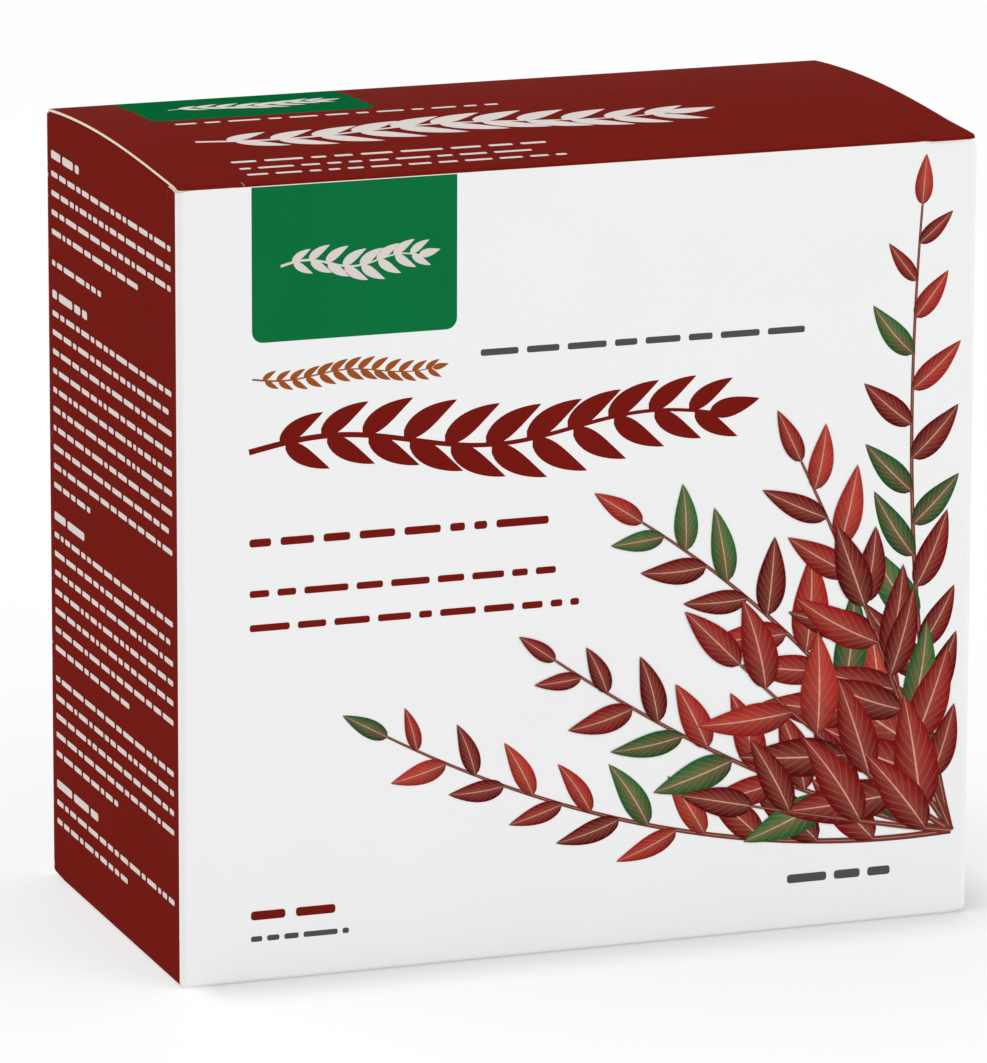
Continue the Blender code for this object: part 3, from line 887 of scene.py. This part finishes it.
class Ink:
    """Collects flat printed shapes for one surface and makes them one piece."""

    def __init__(self, name, material, surface, body, slot, lift=0.008 * MM):
        self.name, self.material, self.surface = name, material, surface
        self.body, self.slot, self.lift = body, slot, lift
        self.points, self.faces, self.uvs, self.tones = [], [], [], []
        self.layer = 0

    def patch(self, rows, uv_rows=None, tone=0.5):
        """A grid of (u, v) places on the surface, in metres."""
        first, columns = len(self.points), len(rows[0])
        height = self.lift + self.layer * LAYER
        for r, row in enumerate(rows):
            for c, (u, v) in enumerate(row):
                self.points.append(self.surface(u, v, height))
                self.uvs.append(uv_rows[r][c] if uv_rows else (0.0, 0.0))
                self.tones.append(tone)
        for r in range(len(rows) - 1):
            for c in range(columns - 1):
                here = first + r * columns + c
                self.faces.append([here, here + 1, here + 1 + columns, here + columns])

    def bar(self, left, right, middle, height):
        """A stroke along u with rounded corners."""
        radius = 0.35 * height
        turns = [math.radians(a) for a in spread(0, 90, 4)]
        ends = [(radius * (1 - math.cos(a)), height / 2 - radius * (1 - math.sin(a))) for a in turns]
        line = [(left + inset, reach) for inset, reach in ends]
        line += [(right - inset, reach) for inset, reach in ends[::-1]]
        self.patch([[(u, middle + side * reach) for u, reach in line] for side in (-1, 1)])

    def words(self, left, right, middle, height, draw, fill=1.0, gap=0.9):
        """A line of word-length strokes, as lettering looks from afar."""
        u, end = left, left + (right - left) * fill
        while u < end - height:
            length = height * draw.uniform(1.6, 6.5)
            stop = min(end, u + length)
            if end - stop < height * 1.5:
                stop = end
            self.bar(u, stop, middle, height)
            u = stop + height * gap

    def leaf(self, base, angle, length, width, bend=0.0, tone=0.5, steps=12):
        """A pointed leaf with its midrib as an arc."""
        rows, uv_rows = [], []
        way = Vector((math.cos(angle), math.sin(angle)))
        across = Vector((-way.y, way.x))
        spine = []
        for t in spread(0, 1, steps):
            spine.append(Vector(base) + way * (length * t) + across * (bend * length * (t * t)))
        for i, t in enumerate(spread(0, 1, steps)):
            before, after = spine[max(0, i - 1)], spine[min(steps, i + 1)]
            side = (after - before).normalized()
            side = Vector((-side.y, side.x))
            half = width / 2 * max(0.0, math.sin(math.pi * t**0.72)) ** 0.85 * (1 - 0.12 * t)
            rows.append([tuple(spine[i] + side * half * s) for s in (-1, -0.5, 0, 0.5, 1)])
            uv_rows.append([(t, s * 0.5 + 0.5) for s in (-1, -0.5, 0, 0.5, 1)])
        self.patch(rows, uv_rows, tone)

    def stem(self, line, thick_start, thick_end, tone=0.5):
        rows = []
        for i, p in enumerate(line):
            before, after = line[max(0, i - 1)], line[min(len(line) - 1, i + 1)]
            way = (Vector(after) - Vector(before)).normalized()
            side = Vector((-way.y, way.x))
            half = (thick_start + (thick_end - thick_start) * i / (len(line) - 1)) / 2
            rows.append([tuple(Vector(p) - side * half), tuple(Vector(p) + side * half)])
        self.patch(rows, [[(0.5, 0.2), (0.5, 0.8)]] * len(rows), tone)

    def finish(self, blend=None):
        mesh = bpy.data.meshes.new(self.name)
        mesh.from_pydata([tuple(p) for p in self.points], [], self.faces)
        mesh.materials.append(M[self.material])
        tone = mesh.attributes.new("tone", "FLOAT", "POINT")
        tone.data.foreach_set("value", self.tones)
        layer = mesh.uv_layers.new(name="leaf")
        for loop in mesh.loops:
            layer.data[loop.index].uv = self.uvs[loop.vertex_index]
        piece = bpy.data.objects.new(self.name, mesh)
        bpy.context.scene.collection.objects.link(piece)
        if blend:
            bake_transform(piece)
        else:
            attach(piece, self.body)
        return piece


def on_front(u, v, height):
    return Vector((u, -HALF_D - height, v))


def on_back(u, v, height):
    return Vector((-u, HALF_D + height, v))


def on_left(u, v, height):
    return Vector((-HALF_W - height, -u, v))


def on_right(u, v, height):
    return Vector((HALF_W + height, u, v))


def on_lid(u, v, height):
    return Vector((u, v, lid_height(u, v) + height))


def rounded_tab(ink, left, right, top, bottom, radius):
    """A tab that hangs from an edge, with its two free corners rounded."""
    down = -1 if bottom < top else 1
    rows = []
    vs = [bottom - down * radius * (1 - math.sin(math.pi / 2 * i / 6)) for i in range(6, -1, -1)]
    vs = [bottom - down * radius * (1 - math.cos(math.pi / 2 * i / 6)) for i in range(7)] + spread(bottom - down * radius, top, 20)[1:]
    for v in vs:
        near = min(radius, abs(v - bottom))
        pull = radius - math.sqrt(max(0.0, radius**2 - (radius - near) ** 2))
        a, b = left + pull, right - pull
        rows.append([(a, v), (left + radius, v)] + [(u, v) for u in spread(left + radius, right - radius, 5)[1:]] + [(b, v)])
    ink.patch(rows)


def garland(ink, left, right, middle, height, pairs, flip=1):
    """A wavy stem with pairs of pointed leaves, as on old borders."""
    span = right - left

    def stem_at(t):
        return Vector((left + span * t, middle + flip * height * 0.10 * math.sin(2 * math.pi * t * 1.5)))

    for side in (1, -1):
        ink.layer += 1
        for i in range(pairs):
            t = 0.02 + 0.93 * (i + 0.5) / pairs + (0.012 if side < 0 else 0.0)
            grow = 0.72 + 0.28 * math.sin(math.pi * t)
            ink.leaf(stem_at(t), side * math.radians(44), height * 0.62 * grow, height * 0.215 * grow, -side * 0.20)
    ink.layer += 1
    ink.stem([tuple(stem_at(t)) for t in spread(0.0, 0.955, 60)], height * 0.055, height * 0.03)
    ink.layer += 1
    ink.leaf(stem_at(0.95), math.radians(8), height * 0.5, height * 0.19, 0.05)


def front_print(prefix, surface, seed):
    """Tab, garlands, strokes and a spray of branches, in place of the panel's words and pictures."""
    draw = random.Random(seed)
    slot = "printed_white"
    green = Ink(f"{prefix}_tab", "green", surface, "carton", slot)
    rounded_tab(green, -48.8 * MM, -18.8 * MM, 113.95 * MM, 92.0 * MM, 1.6 * MM)
    green.finish()
    white = Ink(f"{prefix}_tab_garland", "ink_white", surface, "carton", slot, 0.012 * MM)
    garland(white, -44.6 * MM, -23.4 * MM, 102.6 * MM, 6.5 * MM, 8)
    white.finish()
    red = Ink(f"{prefix}_red_ink", "ink_red", surface, "carton", slot)
    garland(red, -49.3 * MM, 22.5 * MM, 76.6 * MM, 15.5 * MM, 11)
    for left, right, z, height in (
        (-49.3, -5.1, 63.6, 1.15), (-49.3, -4.0, 56.3, 1.0), (-49.3, -0.5, 51.4, 1.0), (-49.3, -36.8, 9.8, 1.3),
    ):
        red.words(left * MM, right * MM, z * MM, height * MM, draw, gap=1.2)
    red.finish()
    grey = Ink(f"{prefix}_grey_ink", "ink_grey", surface, "carton", slot)
    grey.words(-15.3 * MM, 35.3 * MM, 88.3 * MM, 0.95 * MM, draw, gap=1.3)
    grey.words(-49.3 * MM, -34.8 * MM, 6.4 * MM, 0.8 * MM, draw)
    grey.words(31.5 * MM, 47.4 * MM, 7.6 * MM, 1.3 * MM, draw)
    grey.finish()
    amber = Ink(f"{prefix}_amber_ink", "ink_amber", surface, "carton", slot)
    garland(amber, -48.8 * MM, -21.0 * MM, 86.9 * MM, 4.8 * MM, 13, -1)
    amber.finish()
    leaf_spray(prefix, surface)


def leaf_spray(prefix, surface):
    """Branches that fan out from low on the right, with leaves that grow smaller outwards."""
    draw = random.Random(41)
    ink = Ink(f"{prefix}_leaves", "leaves", surface, "carton", "printed_white", 0.012 * MM)
    reds = (0.34, 0.40, 0.48, 0.55, 0.62, 0.70, 0.80, 0.88)
    limit, lowest = 57.8 * MM, 11.5 * MM
    root = (56.8, 12.6)

    def branch(start, bend, end, leaves, first, last, green_share):
        """A curved stem with alternating leaves, none of which leaves the panel's printed field."""
        a, b, c = (Vector(p) * MM for p in (start, bend, end))
        line = [a.lerp(b, t).lerp(b.lerp(c, t), t) for t in spread(0, 1, 40)]
        ink.layer += 1
        ink.stem([tuple(p) for p in line], 0.95 * MM, 0.35 * MM, 0.27)
        for i in range(leaves + 1):
            t = 0.14 + 0.86 * i / leaves
            way = (b - a).lerp(c - b, t)
            side = 0 if i == leaves else 1 if i % 2 else -1
            angle = math.atan2(way.y, way.x) + side * math.radians(draw.uniform(34, 56))
            length = (first + (last - first) * t) * draw.uniform(0.88, 1.12) * MM
            tone = draw.choice(reds) if draw.random() > green_share else draw.uniform(0.02, 0.16)
            base = a.lerp(b, t).lerp(b.lerp(c, t), t)
            wanted = length
            if math.cos(angle) * length > limit - base.x:
                length = (limit - base.x) / math.cos(angle)
            if base.y + math.sin(angle) * length < lowest:
                length = (lowest - base.y) / math.sin(angle)
            if length < 0.6 * wanted:
                continue
            ink.layer += 1
            ink.leaf(base, angle, length, length * draw.uniform(0.34, 0.42), -side * draw.uniform(0.04, 0.16), tone, 16)

    branch(root, (47, 50), (51, 105), 17, 17, 7, 0.14)
    branch(root, (14, 10), (-29, 34), 17, 15, 7, 0.14)
    branch(root, (36, 44), (9, 62), 14, 18, 8, 0.12)
    branch(root, (46, 42), (33, 69), 11, 18, 9, 0.10)
    branch(root, (28, 20), (-4, 43), 14, 17, 7.5, 0.10)
    branch(root, (50, 28), (43, 47), 6, 19, 12, 0.0)
    branch(root, (40, 24), (24, 40), 7, 19, 12, 0.0)
    branch(root, (43, 15), (26, 19), 5, 17, 12, 0.0)
    ink.finish()


def leaf_material():
    """Printed leaves: tone picks the hue, with a pale midrib, side veins and a soft shade."""
    s = Shader("print_leaves", Specular_IOR_Level=SHEEN)
    tone = s.attribute("tone")
    uv = s.node("ShaderNodeUVMap", uv_map="leaf").outputs["UV"]
    split = s.node("ShaderNodeSeparateXYZ")
    s.link(uv, split.inputs[0])
    along, across = split.outputs["X"], split.outputs["Y"]
    off = s.math("ABSOLUTE", s.math("SUBTRACT", across, 0.5))
    ramp = s.node("ShaderNodeValToRGB")
    s.link(tone, ramp.inputs["Fac"])
    stops = [
        (0.0, (0.010, 0.085, 0.028)), (0.18, (0.030, 0.150, 0.040)), (0.24, (0.085, 0.005, 0.006)),
        (0.5, (0.180, 0.008, 0.009)), (0.78, (0.33, 0.016, 0.014)), (1.0, (0.46, 0.045, 0.026)),
    ]
    ramp.color_ramp.elements[0].position, ramp.color_ramp.elements[0].color = stops[0][0], (*stops[0][1], 1.0)
    ramp.color_ramp.elements[1].position, ramp.color_ramp.elements[1].color = stops[-1][0], (*stops[-1][1], 1.0)
    for position, colour in stops[1:-1]:
        ramp.color_ramp.elements.new(position).color = (*colour, 1.0)
    base = ramp.outputs["Color"]
    shade = s.mix(s.ranged(along, 0.0, 0.45, 0.55, 0.0), base, (0.02, 0.004, 0.004))
    fold = s.mix(s.ranged(across, 0.49, 0.51, 0.0, 0.22), shade, (0.01, 0.002, 0.002))
    glow = s.mix(s.ranged(off, 0.0, 0.42, 0.16, 0.0), fold, (0.85, 0.32, 0.22))
    phase = s.math("SUBTRACT", s.math("MULTIPLY", along, 9.0), s.math("MULTIPLY", off, 5.0))
    ridge = s.math("ABSOLUTE", s.math("SUBTRACT", s.math("FRACT", phase), 0.5))
    veins = s.math("MULTIPLY", s.ranged(ridge, 0.0, 0.07, 0.30, 0.0), s.ranged(off, 0.40, 0.47, 1.0, 0.0))
    veined = s.mix(veins, glow, (0.80, 0.30, 0.20))
    midrib = s.mix(s.ranged(off, 0.012, 0.03, 0.6, 0.0), veined, (0.88, 0.50, 0.36))
    grain = s.noise(700.0, 3.0)
    s.colour(s.mix(s.ranged(grain, 0.35, 0.65, 0.0, 0.12), midrib, (0.0, 0.0, 0.0)))
    s.roughness(s.ranged(s.noise(900.0), 0.3, 0.7, 0.44, 0.56))
    s.bump(s.noise(2600.0, 3.0), 0.01 * MM)
    M["leaves"] = s.material


def side_print(prefix, surface, seed):
    """Groups of small white strokes, in place of a side's small print."""
    draw = random.Random(seed)
    ink = Ink(f"{prefix}_white_ink", "ink_white", surface, "carton", "printed_white")
    left, right, pitch, height = -28.6 * MM, 28.3 * MM, 2.83 * MM, 0.8 * MM
    z = 108.2 * MM
    for heading, lines in ((0.24, 4), (0.0, 1), (0.30, 10), (0.26, 7), (0.0, 5), (0.36, 2)):
        if heading:
            ink.words(left, right, z, height * 1.5, draw, heading, 0.8)
            z -= pitch
        for line in range(lines):
            fill = 1.0 if line < lines - 1 else draw.uniform(0.30, 0.75)
            ink.words(left, right, z, height, draw, fill, 1.0)
            z -= pitch
        z -= pitch * 0.62
    ink.finish()


def lid_print():
    """The green tab that runs on from the back panel's edge, and white garlands and strokes."""
    draw = random.Random(7)
    slot = "printed_dark_red"
    tab_left, tab_right = -49.8 * MM, -16.2 * MM
    green = Ink("lid_tab", "lid_green_painted_shade", on_lid, "lid", slot)
    rounded_tab(green, tab_left, tab_right, LID_BACK_Y, 10.6 * MM, 1.6 * MM)
    green.finish()
    section = back_section(0.0)

    def on_crease(u, v, height):
        y, z = section[int(v)]
        before, after = section[max(0, int(v) - 1)], section[min(len(section) - 1, int(v) + 1)]
        way = Vector((after[0] - before[0], after[1] - before[1])).normalized()
        return Vector((u, y + way.y * height, z - way.x * height))

    over = Ink("lid_tab_crease", "lid_green_painted_shade", on_crease, None, slot)
    over.patch([[(u, i) for u in spread(tab_left, tab_right, 6)] for i in range(BACK_PRINT_ROW, len(section))])
    over.finish((("carton", "lid"), BACK_CREASE_START, BACK_CREASE_END))
    white = Ink("lid_tab_garland", "ink_white", on_lid, "lid", slot, 0.012 * MM)
    garland(white, -44.6 * MM, -21.0 * MM, 19.8 * MM, 8.0 * MM, 8)
    white.finish()
    ink = Ink("lid_white_ink", "ink_white", on_lid, "lid", slot)
    garland(ink, -48.5 * MM, 25.5 * MM, -5.2 * MM, 16.5 * MM, 11, -1)
    for left, right, y, height in (
        (-47.5, 3.0, 7.4, 1.0), (-47.5, -1.0, -18.4, 1.0), (-47.5, -4.5, -22.2, 0.9), (-47.5, -0.5, -25.6, 0.9),
    ):
        ink.words(left * MM, right * MM, y * MM, height * MM, draw, gap=1.2)
    ink.finish()


# Stage

FLOOR_GLOW = 0.595
SKY = 0.86
SHADE_REACH = 12 * MM
LIGHTS = (
    ("key_softbox", (1.0, -1.25, 1.2), 1.2, 8.5),
    ("top_softbox", (-1.2, 0.8, 1.3), 1.6, 7.5),
)


def painted_foot_shadow(s):
    """Painted shadow in the floor's glow: the glow dies away close to the carton's foot, as far as ambient occlusion
    reaches, except on the carton's left side, where a mask on the floor's x keeps it whole.
    """
    near = s.node("ShaderNodeAmbientOcclusion", samples=12)
    near.inputs["Distance"].default_value = SHADE_REACH
    place = s.node("ShaderNodeSeparateXYZ")
    s.link(s.coords, place.inputs[0])
    beside = s.ranged(place.outputs["X"], -HALF_W + 1 * MM, -HALF_W + 5 * MM)
    lost = s.ranged(near.outputs["AO"], 0.55, 1.0, 0.38, 0.0)
    return s.math("MULTIPLY", s.math("SUBTRACT", 1.0, s.math("MULTIPLY", beside, lost)), FLOOR_GLOW)


def stage():
    """A light table: its glow keeps the shadows round the foot of the carton soft and pale."""
    s = Shader("studio_floor", Roughness=0.9, Specular_IOR_Level=0.0)
    s.surface.inputs["Emission Color"].default_value = (1.0, 1.0, 1.0, 1.0)
    s.link(painted_foot_shadow(s), s.surface.inputs["Emission Strength"])
    s.colour(s.mix(s.ranged(s.noise(3.0), 0.3, 0.7), (0.375, 0.375, 0.375), (0.385, 0.385, 0.385)))
    mesh = bpy.data.meshes.new("studio_floor")
    mesh.from_pydata([(-4, -4, 0), (4, -4, 0), (4, 6, 0), (-4, 6, 0)], [], [(0, 1, 2, 3)])
    mesh.materials.append(s.material)
    floor = bpy.data.objects.new("studio_floor", mesh)
    bpy.context.scene.collection.objects.link(floor)
    world = bpy.data.worlds.new("studio")
    world.use_nodes = True
    world.node_tree.nodes["Background"].inputs["Color"].default_value = (1.0, 1.0, 1.0, 1.0)
    world.node_tree.nodes["Background"].inputs["Strength"].default_value = SKY
    bpy.context.scene.world = world
    for name, place, size, power in LIGHTS:
        data = bpy.data.lights.new(name, "AREA")
        data.shape, data.size, data.energy = "SQUARE", size, power
        light = bpy.data.objects.new(name, data)
        light.location = place
        light.rotation_euler = (Vector((0, 0, 0.05)) - Vector(place)).to_track_quat("-Z", "Y").to_euler()
        bpy.context.scene.collection.objects.link(light)
    bpy.context.scene.view_settings.view_transform = "Standard"


def camera():
    azimuth, elevation, roll = map(math.radians, (-19.735, 13.58, 0.18))
    back = Vector((math.sin(azimuth) * math.cos(elevation), -math.cos(azimuth) * math.cos(elevation), math.sin(elevation)))
    right = Vector((math.cos(azimuth), math.sin(azimuth), 0.0))
    up = back.cross(right)
    turned_right = right * math.cos(roll) + up * math.sin(roll)
    turned_up = up * math.cos(roll) - right * math.sin(roll)
    data = bpy.data.cameras.new("camera")
    data.sensor_width, data.lens = 36.0, 36.0 * 8533 / 1063
    data.shift_x, data.shift_y = -13.7 / 1063, -19.0 / 1063
    data.clip_start, data.clip_end = 0.05, 50.0
    eye = bpy.data.objects.new("camera", data)
    frame_axes = Matrix((turned_right, turned_up, back)).transposed()
    eye.matrix_world = Matrix.Translation(Vector((0, 0, HEIGHT / 2)) + back * 10.797 * HEIGHT) @ frame_axes.to_4x4()
    bpy.context.scene.collection.objects.link(eye)
    bpy.context.scene.camera = eye


camera()
sleeve()
outer_bottom_flap()
glue_flap()
lid_panel()
lid_creases()
tuck_flap()
dust_flaps()
divider()
ampoules()
leaf_material()
front_print("front", on_front, 3)
front_print("back", on_back, 5)
side_print("left", on_left, 11)
side_print("right", on_right, 12)
lid_print()
for node in ("bottom_inner_flap", "bottom_dust_flap_left", "bottom_dust_flap_right"):
    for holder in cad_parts[node].material_slots:
        holder.material = M["raw"]
stage()
